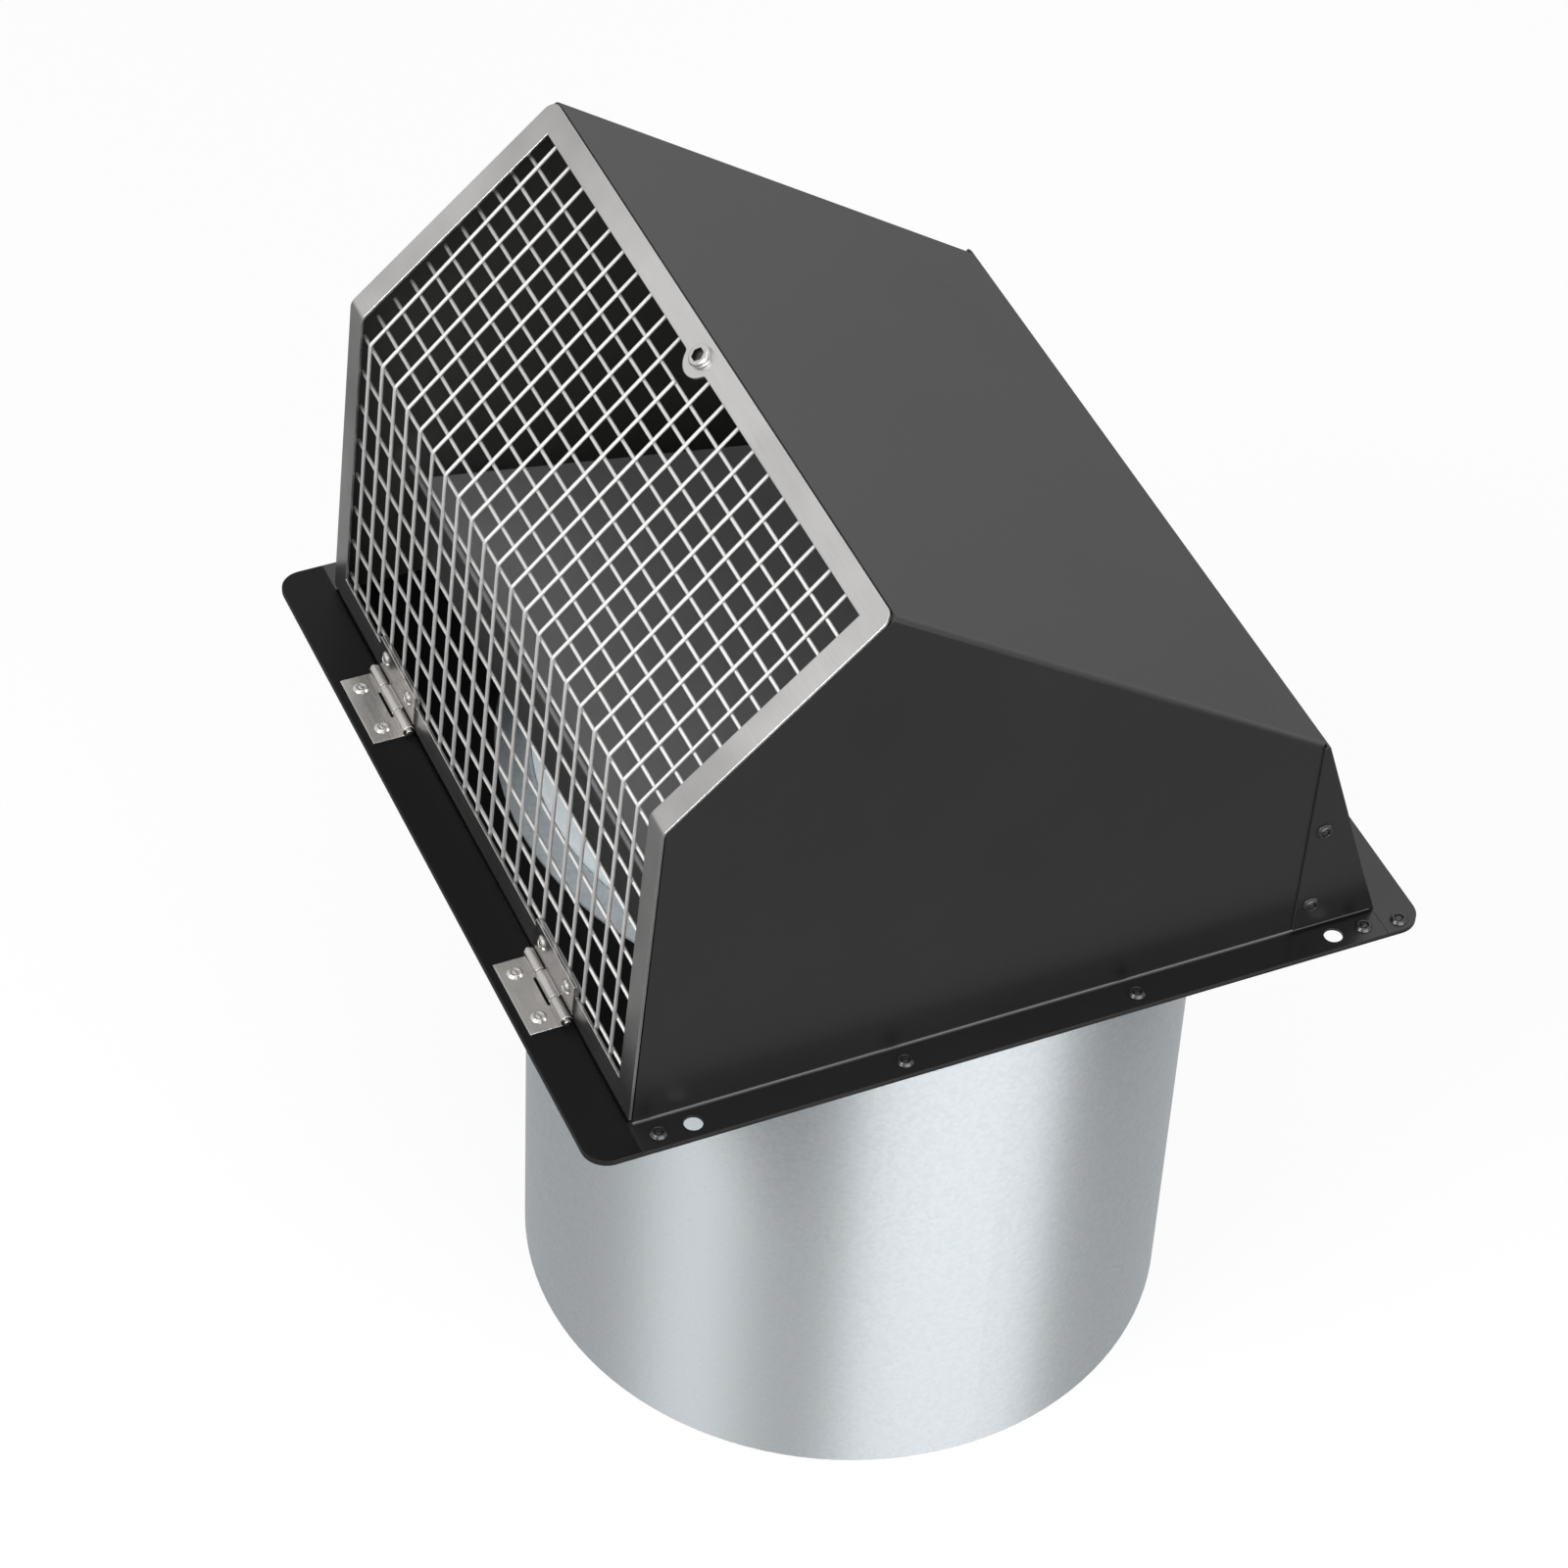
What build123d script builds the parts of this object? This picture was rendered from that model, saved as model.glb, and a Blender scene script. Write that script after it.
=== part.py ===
from build123d import *
import math
import os

# Sheet stock and the gaps between pieces
base_t = 0.6
sheet_t = 0.6
seam_gap = 0.1
fit_gap = 0.05
move_gap = 0.3
bend_r = 1.2
back_bend_r = 0.45
cut_over = 5.0

# Duct tube and its ring, turned out over the base plate with a small flare
tube_r = 75.7
tube_t = 0.6
tube_length = 158.8
ring_width = 7.3
ring_back_width = 0.9

# Hood round the tube: room at the sides, front and back, then the flange beyond it
side_room = 11.8
front_room = 18.0
back_room = 2.2
side_flange = 8.1
strip_depth = 11.3
back_flange = 8.4
flange_corner_r = 5.5

# Hood side view: distances from the door line or the back foot, heights above the flange
bend_back = 5.5
bend_height = 80.5
top_back = 52.1
top_height = 122.3
roof_end_in = 16.9
roof_end_height = 53.1

# Back panel: tabs over the side walls, lip under the roof, seam of its flange
tab_top_in = 18.2
tab_foot_in = 19.7
tab_foot_height = 0.8
roof_lip = 8.0
seam_in = 0.45

# Slanted collar inside the tube
collar_below = 25.0
collar_t = 0.6
mouth_height = 33.0
mouth_slope_deg = 10.2

# Damper flap, hinged over the collar's low side
flap_over_side = 3.05
flap_over_front = 1.0
flap_axis_in = 4.7
flap_t = 0.6
lip_height = 14.0
hem_r = 0.9
hem_out = 3.75
eye_r = 1.5
eye_sink = 0.3
eye_length = 16.0
eye_in = 18.75
flap_pin_r = 0.8

# Brackets that carry the flap's pin
bracket_t = 1.0
bracket_side_gap = 1.75
bracket_wall_gap = 0.6
bracket_front = 4.5
bracket_back = 2.2
bracket_top = 3.0
bracket_bend_r = 0.6
bracket_corner_r = 2.0
pin_head_r = 1.5
pin_head_t = 0.7

# Screen door frame with a round lug for the screw
door_clear = 1.3
frame_t = 0.6
leg_width = 6.4
top_strip = 5.5
bottom_strip = 6.3
frame_corner_r = 3.0
frame_bend_r = 3.0
lug_r = 4.7
lug_neck_r = 1.2
lug_below_top = 3.9

# Wire mesh welded behind the frame, a little off the middle
wire_r = 0.42
upright_count = 21
upright_in = 11.9
upright_overlap = 2.4
mesh_shift = -1.8
row_in = 4.3
lowest_row = 8.4
row_gap_below_bend = 15.3
row_count_lower = 7
highest_row = 12.0
row_gap_above_bend = 2.9
row_count_upper = 10

# Screw at the door's top and the slotted hood tab behind it
screw_r = 1.45
screw_head_r = 2.6
screw_head_h = 1.3
screw_edge_r = 0.7
screw_reach = 1.6
socket_r = 1.4
socket_depth = 0.8
screw_tab_half = 3.2
screw_tab_length = 7.4
tab_slot_r = 1.65
tab_slot = 0.9

# Butt hinges between the front strip and the door frame
hinge_in = 40.8
hinge_half = 10.7
hinge_leaf_t = 0.6
barrel_r = 1.3
barrel_front_gap = 0.15
barrel_floor_gap = 0.2
hinge_pin_r = 0.7
fixed_leaf_depth = 8.1
moving_leaf_top = 9.5
middle_knuckle = 8.6
knuckle_gap = 0.25
pin_end_out = 0.8

# Rivets and screw holes
rivet_head_r = 1.9
rivet_head_h = 0.8
rivet_shank_r = 1.2
rivet_tail = 0.4
leaf_rivet_r = 1.8
leaf_rivet_h = 0.6
leaf_rivet_shank_r = 1.1
leaf_rivet_x = 6.75
strip_rivet_front = 6.1
frame_rivet_up = 6.1
side_rivet_out = 4.4
side_rivet_shares = (0.0286, 0.3491, 0.6597, 0.9732)
mount_hole_out = 4.3
mount_hole_front_in = 12.6
mount_hole_back_in = 11.8
mount_hole_r = 2.05
base_hole_r = 2.65
back_rivet_out = 5.25
back_rivet_back = 3.4
tab_rivets = ((15.6, 28.9), (16.3, 7.5))

# Derived widths, levels and planes
hood_half = tube_r + side_room
wall_x = hood_half - sheet_t
outer_x = hood_half + sheet_t
flange_half = hood_half + side_flange
door_line = -(tube_r + front_room)
foot_back = tube_r + back_room - door_line
flange_front = door_line - strip_depth
flange_back = tube_r + back_room + back_flange
flange_top = base_t + sheet_t
tube_inner = tube_r - tube_t
collar_r = tube_inner - seam_gap
slope = math.tan(math.radians(mouth_slope_deg))
flap_half = tube_r + flap_over_side
flap_front = -(tube_r + flap_over_front)
flap_axis_y = tube_r - flap_axis_in
flap_bore_r = flap_pin_r + fit_gap
hinge_bore_r = hinge_pin_r + fit_gap
hinge_x = hood_half - hinge_in
tab_depth = frame_t + move_gap


# Point of the side view from its distance behind the door line and its height
def at(back, height):
    return Vector(door_line + back, flange_top + height)


front_foot = at(0, 0)
front_bend = at(bend_back, bend_height)
front_top = at(top_back, top_height)
roof_end = at(foot_back - roof_end_in, roof_end_height)
back_foot = at(foot_back, 0)
seam_y = back_foot.X - seam_in
low_up = (front_bend - front_foot).normalized()
high_up = (front_top - front_bend).normalized()


# Unit vector that points into the hood from the line between two points of the side view
def inward(start, end):
    along = (end - start).normalized()
    return Vector(along.Y, -along.X)


# Where the line through p along u meets the line through q along v
def crossing(p, u, q, v):
    step = ((q.X - p.X) * v.Y - (q.Y - p.Y) * v.X) / (u.X * v.Y - u.Y * v.X)
    return p + u * step


# Corners of the hood's side view with each side moved in by the given amounts
def side_points(front, roof, back, floor):
    corners = [front_foot, front_bend, front_top, roof_end, back_foot]
    insets = [front, front, roof, back]
    lines = []
    for start, end, inset in zip(corners, corners[1:], insets):
        lines.append((start + inward(start, end) * inset, end - start))
    ground = (Vector(0, floor), Vector(1, 0))
    lines = [ground] + lines + [ground]
    return [crossing(*a, *b) for a, b in zip(lines, lines[1:])]


# Solid between two X values with an outline in side view, its corners rounded by index
def prism(points, x_from, x_to, rounds=None):
    face = make_face(Polyline(*[(p.X, p.Y) for p in points], close=True))
    for index, radius in (rounds or {}).items():
        spot = (points[index].X, points[index].Y, 0)
        face = fillet(face.vertices().sort_by_distance(spot)[0], radius)
    return extrude(Plane.YZ.offset(x_from) * face, x_to - x_from)


# Box between the given faces
def block(x_from, x_to, y_from, y_to, z_from, z_to):
    size = (x_to - x_from, y_to - y_from, z_to - z_from)
    middle = ((x_from + x_to) / 2, (y_from + y_to) / 2, (z_from + z_to) / 2)
    return Pos(*middle) * Box(*size)


# The edge of a shape whose middle lies nearest to each spot
def nearest_edges(shape, spots):
    return [min(shape.edges(), key=lambda e: (e.center() - Vector(*s)).length) for s in spots]


# Plane on the door's front face: local Y runs up along it, local Z points out
def door_plane(start, end, origin):
    out = inward(start, end) * -1
    return Plane(origin=(0, origin.X, origin.Y), x_dir=(1, 0, 0), z_dir=(0, out.X, out.Y))


lower = door_plane(front_foot, front_bend, front_foot)
upper = door_plane(front_bend, front_top, front_top)
lower_length = (front_bend - front_foot).length
upper_length = (front_top - front_bend).length


# Round bar along X
def rod_x(radius, x_from, x_to, y, z):
    return Pos((x_from + x_to) / 2, y, z) * Rot(0, 90, 0) * Cylinder(radius, x_to - x_from)


# Domed rivet standing on its origin, the shank reaching down
def rivet(head_r, head_h, shank_r, reach):
    ball_r = (head_r**2 + head_h**2) / (2 * head_h)
    dome = Pos(0, 0, head_h - ball_r) * Sphere(ball_r)
    head = dome & Pos(0, 0, head_h / 2) * Cylinder(head_r, head_h)
    return head + Pos(0, 0, -reach / 2) * Cylinder(shank_r, reach)


# Cutters for upright holes through the flange's layers
def upright_holes(spots, radius):
    return [Pos(x, y, 0) * Cylinder(radius, 2 * (flange_top + cut_over)) for x, y in spots]


def both_sides(x, y):
    return [(-x, y), (x, y)]


# Rivets and screw holes along the flange, in plan
side_rivet_spots = []
for share in side_rivet_shares:
    side_rivet_spots += both_sides(hood_half + side_rivet_out, door_line + share * foot_back)
mount_spots = both_sides(hood_half + mount_hole_out, door_line + mount_hole_front_in)
mount_spots += both_sides(hood_half + mount_hole_out, back_foot.X - mount_hole_back_in)
back_rivet_spots = both_sides(hood_half + back_rivet_out, back_foot.X + back_rivet_back)
strip_rivet_spots = both_sides(hinge_x - leaf_rivet_x, door_line - strip_rivet_front)
strip_rivet_spots += both_sides(hinge_x + leaf_rivet_x, door_line - strip_rivet_front)
tab_rivet_places = [(back_foot.X - back_in, flange_top + height) for back_in, height in tab_rivets]

# Hinge axis of the door, pin axis of the flap and the bracket's rivets
door_axis_y = door_line - barrel_front_gap - barrel_r
door_axis_z = flange_top + barrel_r + barrel_floor_gap
rim_front = flange_top + mouth_height
flap_rise = (flap_t + move_gap) / math.cos(math.radians(mouth_slope_deg))


# Height of the closed flap's top face at a place along Y
def flap_top_at(y):
    return rim_front + flap_rise - (y + collar_r) * slope


flap_axis_z = flap_top_at(flap_axis_y) + eye_r - eye_sink
ear_in = flap_half + bracket_side_gap
ear_out = ear_in + bracket_t
bracket_foot_x = wall_x - bracket_wall_gap
bracket_y = (flap_axis_y - bracket_front, flap_axis_y + bracket_back)
bracket_spots = both_sides((ear_out + bracket_foot_x) / 2, sum(bracket_y) / 2)


# Flange sheet with its corners rounded at the given Y edges
def rounded_plate(z_from, z_to, y_from, y_to, rounded_y):
    plate = block(-flange_half, flange_half, y_from, y_to, z_from, z_to)
    spots = [(x, y, (z_from + z_to) / 2) for x in (-flange_half, flange_half) for y in rounded_y]
    return fillet(nearest_edges(plate, spots), flange_corner_r)


def make_base_plate():
    plate = rounded_plate(0, base_t, flange_front, flange_back, (flange_front, flange_back))
    bore_r = tube_r + base_t + seam_gap
    plate -= Cylinder(bore_r, 2 * (base_t + cut_over))
    shank_spots = side_rivet_spots + back_rivet_spots + bracket_spots
    plate -= upright_holes(shank_spots, rivet_shank_r + fit_gap)
    plate -= upright_holes(strip_rivet_spots, leaf_rivet_shank_r + fit_gap)
    return plate - upright_holes(mount_spots, base_hole_r)


def make_front_strip():
    back = door_line - seam_gap
    strip = rounded_plate(base_t, flange_top, flange_front, back, (flange_front,))
    return strip - upright_holes(strip_rivet_spots, leaf_rivet_shank_r + fit_gap)


# Roof folded down over both side walls, from a filled side view
def folded_block(points, half, radius):
    solid = prism(points, -half, half)
    roof = (points[2] + points[3]) / 2
    return fillet(nearest_edges(solid, [(-half, roof.X, roof.Y), (half, roof.X, roof.Y)]), radius)


# Tab that hangs from the roof's front edge behind the door's lug, with a slot for the screw
def make_screw_tab():
    round_y = screw_tab_half - screw_tab_length
    back = -tab_depth - sheet_t
    tab = block(-screw_tab_half, screw_tab_half, round_y, 0, back, -tab_depth)
    tab += Pos(0, round_y, back + sheet_t / 2) * Cylinder(screw_tab_half, sheet_t)
    slot = extrude(SlotCenterToCenter(tab_slot, 2 * tab_slot_r, rotation=90), sheet_t + cut_over, both=True)
    return upper * (tab - Pos(0, -lug_below_top - tab_slot / 2, back) * slot)


# Holes across both side walls for the rivets of the back panel's tabs
def cut_tab_holes(shape):
    for y, z in tab_rivet_places:
        shape -= rod_x(rivet_shank_r + fit_gap, -outer_x - cut_over, outer_x + cut_over, y, z)
    return shape


def make_hood_shell():
    outer = folded_block(side_points(tab_depth, 0, sheet_t, base_t), hood_half, bend_r)
    inner_points = side_points(-cut_over, sheet_t, -cut_over, -cut_over)
    shell = outer - folded_block(inner_points, wall_x, bend_r - sheet_t)
    seam = seam_y - seam_gap
    for side in (-1, 1):
        low, high = sorted((side * wall_x, side * flange_half))
        shell += block(low, high, door_line, seam, base_t, flange_top)
    fold_y = (door_line + seam) / 2
    folds = nearest_edges(shell, [(-hood_half, fold_y, flange_top), (hood_half, fold_y, flange_top)])
    shell = fillet(folds, bend_r - sheet_t)
    shell += make_screw_tab()
    shell -= upright_holes(side_rivet_spots, rivet_shank_r + fit_gap)
    shell -= upright_holes(mount_spots, mount_hole_r)
    return cut_tab_holes(shell)


# Lip of the back panel, turned in under the roof
def make_roof_lip():
    line = side_points(0, sheet_t, sheet_t, base_t)[3]
    under = side_points(0, 2 * sheet_t, sheet_t, base_t)[3]
    along = (front_top - roof_end).normalized() * roof_lip
    half = wall_x - bend_r
    return prism([line, line + along, under + along, under], -half, half)


def make_back_panel():
    outline = side_points(0, 0, 0, base_t)[3:]
    inner = side_points(0, 0, sheet_t, base_t)[3:]
    panel = prism(outline + inner[::-1], -outer_x, outer_x)
    middle = (outline[0] + outline[1]) / 2
    bends = nearest_edges(panel, [(-outer_x, middle.X, middle.Y), (outer_x, middle.X, middle.Y)])
    panel = fillet(bends, back_bend_r) + make_roof_lip()
    tab = [inner[0], at(foot_back - tab_top_in, roof_end_height), at(foot_back - tab_foot_in, tab_foot_height)]
    tab.append(crossing(tab[-1], Vector(1, 0), inner[0], back_foot - roof_end))
    for side in (-1, 1):
        low, high = sorted((side * hood_half, side * outer_x))
        panel += prism(tab, low, high)
        low, high = sorted((side * wall_x, side * (outer_x + cut_over)))
        panel -= block(low, high, 0, seam_y, 0, flange_top)
    panel += rounded_plate(base_t, flange_top, seam_y, flange_back, (flange_back,))
    panel -= upright_holes(back_rivet_spots, rivet_shank_r + fit_gap)
    return cut_tab_holes(panel)


def make_duct_tube():
    foot = flange_top - tube_length
    ring_top = base_t + tube_t
    ring_r = tube_r + ring_width
    ring_back = tube_r + ring_back_width
    height = ring_top - foot
    tube = Pos(0, 0, foot + height / 2) * Cylinder(tube_r, height)
    tube += Pos(0, 0, base_t + tube_t / 2) * Cylinder(ring_r, tube_t)
    turn = [e for e in tube.edges().filter_by(GeomType.CIRCLE) if math.isclose(e.radius, tube_r)]
    tube = chamfer(sorted(turn, key=lambda e: e.center().Z)[-1], base_t)
    tube -= Pos(0, 0, foot + height / 2) * Cylinder(tube_inner, height + cut_over)
    mouth = [e for e in tube.edges().filter_by(GeomType.CIRCLE) if math.isclose(e.radius, tube_inner)]
    tube = chamfer(sorted(mouth, key=lambda e: e.center().Z)[-1], base_t + tube_t * (2 - math.sqrt(2)))
    return tube - block(-ring_r, ring_r, ring_back, ring_r + cut_over, 0, ring_top + cut_over)


def make_damper_collar():
    top = rim_front + cut_over
    height = top + collar_below
    middle = top - height / 2
    collar = Pos(0, 0, middle) * Cylinder(collar_r, height)
    collar -= Pos(0, 0, middle) * Cylinder(collar_r - collar_t, height + cut_over)
    reach = collar_r + cut_over
    front = Vector(-reach, rim_front + (reach - collar_r) * slope)
    back = Vector(reach, rim_front - (reach + collar_r) * slope)
    rise = Vector(0, 2 * reach)
    return collar - prism([front, back, back + rise, front + rise], -reach, reach)


# Point of the flap's section at a place along Y and a depth under its top face
def flap_point(y, below):
    tilt = math.radians(mouth_slope_deg)
    return Vector(y - below * math.sin(tilt), flap_top_at(y) - below * math.cos(tilt))


def make_damper_flap():
    lip_back = flap_front + flap_t
    plate = [flap_point(flap_front, 0), flap_point(flap_axis_y, 0), flap_point(flap_axis_y, flap_t)]
    plate += [flap_point(lip_back, flap_t), flap_point(lip_back, lip_height), flap_point(flap_front, lip_height)]
    flap = prism(plate, -flap_half, flap_half)
    hem = flap_point(flap_front, 0)
    hem_half = flap_half + hem_out
    flap += rod_x(hem_r, -hem_half, hem_half, hem.X, hem.Y)
    eye_x = flap_half - eye_in
    for x in (-eye_x, 0, eye_x):
        flap += rod_x(eye_r, x - eye_length / 2, x + eye_length / 2, flap_axis_y, flap_axis_z)
    return flap - rod_x(flap_bore_r, -ear_out, ear_out, flap_axis_y, flap_axis_z)


def make_damper_pin():
    pin = rod_x(flap_pin_r, -ear_out, ear_out, flap_axis_y, flap_axis_z)
    for side in (-1, 1):
        low, high = sorted((side * ear_out, side * (ear_out + pin_head_t)))
        pin += rod_x(pin_head_r, low, high, flap_axis_y, flap_axis_z)
    return pin


def make_damper_bracket(side):
    low_y, high_y = bracket_y
    bracket = block(ear_in, ear_out, low_y, high_y, base_t, flap_axis_z + bracket_top)
    bracket += block(ear_in, bracket_foot_x, low_y, high_y, base_t, base_t + bracket_t)
    bracket = fillet(nearest_edges(bracket, [(ear_in, sum(bracket_y) / 2, base_t)]), bracket_bend_r)
    bracket = fillet(bracket.edges().filter_by(Axis.X).sort_by(Axis.Z)[-2:], bracket_corner_r)
    bracket -= rod_x(flap_bore_r, 0, ear_out + cut_over, flap_axis_y, flap_axis_z)
    bracket -= upright_holes(bracket_spots, rivet_shank_r + fit_gap)
    return bracket if side > 0 else mirror(bracket, Plane.YZ)


# Point at a depth behind the door's front face, up from its foot
def low_point(depth, up):
    return front_foot + inward(front_foot, front_bend) * depth + low_up * up


# Point at a depth behind the door's front face, down from its top
def high_point(depth, down):
    return front_top + inward(front_bend, front_top) * depth - high_up * down


# Bent line in side view at a depth, from a height on the lower part to one under the top
def door_line_at(depth, up, down):
    foot = low_point(depth, up)
    top = high_point(depth, down)
    return [foot, crossing(foot, low_up, top, high_up), top]


# Bent band in side view between two depths
def door_band(depth_out, depth_in, up, down):
    return door_line_at(depth_out, up, down) + door_line_at(depth_in, up, down)[::-1]


# Places of the moving leaves' rivets on the door's lower face
def leaf_rivet_places(side):
    return [(side * hinge_x + end * leaf_rivet_x, door_clear + frame_rivet_up) for end in (-1, 1)]


def cut_leaf_holes(shape, side):
    length = 2 * (frame_t + hinge_leaf_t + move_gap)
    for x, up in leaf_rivet_places(side):
        shape -= lower * Pos(x, up, 0) * Cylinder(leaf_rivet_shank_r + fit_gap, length)
    return shape


def make_lug():
    disc = Pos(0, -lug_below_top, -frame_t / 2) * Cylinder(lug_r, frame_t)
    return upper * (disc & block(-lug_r, lug_r, -lug_below_top - lug_r, 0, -frame_t, 0))


def make_screen_frame():
    bends = {1: frame_bend_r, 4: frame_bend_r - frame_t}
    frame = prism(door_band(0, frame_t, door_clear, 0), -hood_half, hood_half, bends)
    corners = [upper.from_local_coords((side * hood_half, 0, -frame_t / 2)) for side in (-1, 1)]
    frame = fillet(nearest_edges(frame, corners), frame_corner_r)
    opening_half = hood_half - leg_width
    cut = door_band(-cut_over, cut_over, door_clear + bottom_strip, top_strip)
    frame -= prism(cut, -opening_half, opening_half)
    frame += make_lug()
    neck_x = math.sqrt(lug_r**2 - (top_strip - lug_below_top)**2)
    necks = [upper.from_local_coords((side * neck_x, -top_strip, -frame_t / 2)) for side in (-1, 1)]
    frame = fillet(nearest_edges(frame, necks), lug_neck_r)
    for side in (-1, 1):
        low, high = side * hinge_x - hinge_half, side * hinge_x + hinge_half
        frame += lower * block(low, high, door_clear, door_clear + moving_leaf_top, -frame_t, 0)
        frame = cut_leaf_holes(frame, side)
    return frame - upper * Pos(0, -lug_below_top, 0) * Cylinder(screw_r + fit_gap, 2 * (frame_t + move_gap))


# Section of a wire: eight flats, two of them level with the door's faces
def wire_section():
    return RegularPolygon(wire_r, 8, major_radius=False, rotation=22.5)


# Wire up the door, bent once, given as its three points in side view
def upright_wire(x, line):
    path = Polyline(*[(x, p.X, p.Y) for p in line])
    start = Plane(origin=path @ 0, x_dir=(1, 0, 0), z_dir=path % 0)
    return sweep(start * wire_section(), path, transition=Transition.RIGHT)


# Wire across the door, centred on its plane's origin
def row_wire():
    half = hood_half - row_in
    return extrude(Plane.YZ.offset(-half) * wire_section(), 2 * half)


def make_screen_mesh():
    wires = []
    depth = frame_t + wire_r
    half = hood_half - upright_in
    pitch = 2 * half / (upright_count - 1)
    for i in range(upright_count):
        x = mesh_shift - half + i * pitch
        behind_screw = abs(x) < screw_tab_half + 2 * wire_r
        down = highest_row - wire_r if behind_screw else top_strip - upright_overlap
        wires.append(upright_wire(x, door_line_at(depth, door_clear + bottom_strip - upright_overlap, down)))
    row_depth = depth + 2 * wire_r
    pitch_lower = (lower_length - lowest_row - row_gap_below_bend) / (row_count_lower - 1)
    pitch_upper = (upper_length - highest_row - row_gap_above_bend) / (row_count_upper - 1)
    row = row_wire()
    for i in range(row_count_lower):
        wires.append(lower * Pos(0, lowest_row + i * pitch_lower, -row_depth) * row)
    for i in range(row_count_upper):
        wires.append(upper * Pos(0, -highest_row - i * pitch_upper, -row_depth) * row)
    return Compound(children=[w.solid() for w in wires])


def make_fixed_leaf(side):
    middle = side * hinge_x
    low, high = middle - hinge_half, middle + hinge_half
    leaf_top = flange_top + hinge_leaf_t
    leaf = block(low, high, door_axis_y - fixed_leaf_depth, door_axis_y, flange_top, leaf_top)
    notch_y = door_axis_y - barrel_r - move_gap
    notch = middle_knuckle / 2
    leaf -= block(middle - notch, middle + notch, notch_y, door_axis_y + cut_over, 0, leaf_top + cut_over)
    leaf += rod_x(barrel_r, low, middle - notch, door_axis_y, door_axis_z)
    leaf += rod_x(barrel_r, middle + notch, high, door_axis_y, door_axis_z)
    leaf -= rod_x(hinge_bore_r, low - cut_over, high + cut_over, door_axis_y, door_axis_z)
    return leaf - upright_holes(strip_rivet_spots, leaf_rivet_shank_r + fit_gap)


def make_moving_leaf(side):
    middle = side * hinge_x
    low, high = middle - hinge_half, middle + hinge_half
    knuckle = middle_knuckle / 2 - knuckle_gap
    axis_up = door_axis_z - flange_top
    clear_up = axis_up + barrel_r + move_gap
    leaf = lower * block(low, high, clear_up, door_clear + moving_leaf_top, 0, hinge_leaf_t)
    leaf += lower * block(middle - knuckle, middle + knuckle, axis_up, clear_up + hinge_leaf_t, 0, hinge_leaf_t)
    leaf += rod_x(barrel_r, middle - knuckle, middle + knuckle, door_axis_y, door_axis_z)
    leaf -= rod_x(hinge_bore_r, low - cut_over, high + cut_over, door_axis_y, door_axis_z)
    return cut_leaf_holes(leaf, side)


def make_hinge_pin(side):
    low = side * hinge_x - hinge_half - pin_end_out
    high = side * hinge_x + hinge_half + pin_end_out
    return rod_x(hinge_pin_r, low, high, door_axis_y, door_axis_z)


def make_screen_screw():
    head = Pos(0, 0, screw_head_h / 2) * Cylinder(screw_head_r, screw_head_h)
    head = fillet(head.edges().sort_by(Axis.Z)[-1], screw_edge_r)
    socket = extrude(RegularPolygon(socket_r, 6), socket_depth + cut_over)
    head -= Pos(0, 0, screw_head_h - socket_depth) * socket
    reach = frame_t + screw_reach
    screw = head + Pos(0, 0, -reach / 2) * Cylinder(screw_r, reach)
    return upper * Pos(0, -lug_below_top, 0) * screw


# Group of rivets standing on a level face, their shanks down to the flange's underside
def flat_rivets(spots, level, head_r, head_h, shank_r):
    one = rivet(head_r, head_h, shank_r, level)
    return Compound(children=[Pos(x, y, level) * one for x, y in spots])


def make_side_rivets(side):
    spots = [s for s in side_rivet_spots if s[0] * side > 0]
    return flat_rivets(spots, flange_top, rivet_head_r, rivet_head_h, rivet_shank_r)


def make_tab_rivets(side):
    one = rivet(rivet_head_r, rivet_head_h, rivet_shank_r, 2 * sheet_t + rivet_tail)
    solids = []
    for y, z in tab_rivet_places:
        place = Plane(origin=(side * outer_x, y, z), x_dir=(0, 1, 0), z_dir=(side, 0, 0))
        solids.append(place * one)
    return Compound(children=solids)


def make_strip_rivets():
    level = flange_top + hinge_leaf_t
    return flat_rivets(strip_rivet_spots, level, leaf_rivet_r, leaf_rivet_h, leaf_rivet_shank_r)


def make_frame_rivets():
    one = rivet(leaf_rivet_r, leaf_rivet_h, leaf_rivet_shank_r, hinge_leaf_t + frame_t)
    places = leaf_rivet_places(-1) + leaf_rivet_places(1)
    return Compound(children=[lower * Pos(x, up, hinge_leaf_t) * one for x, up in places])


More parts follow.
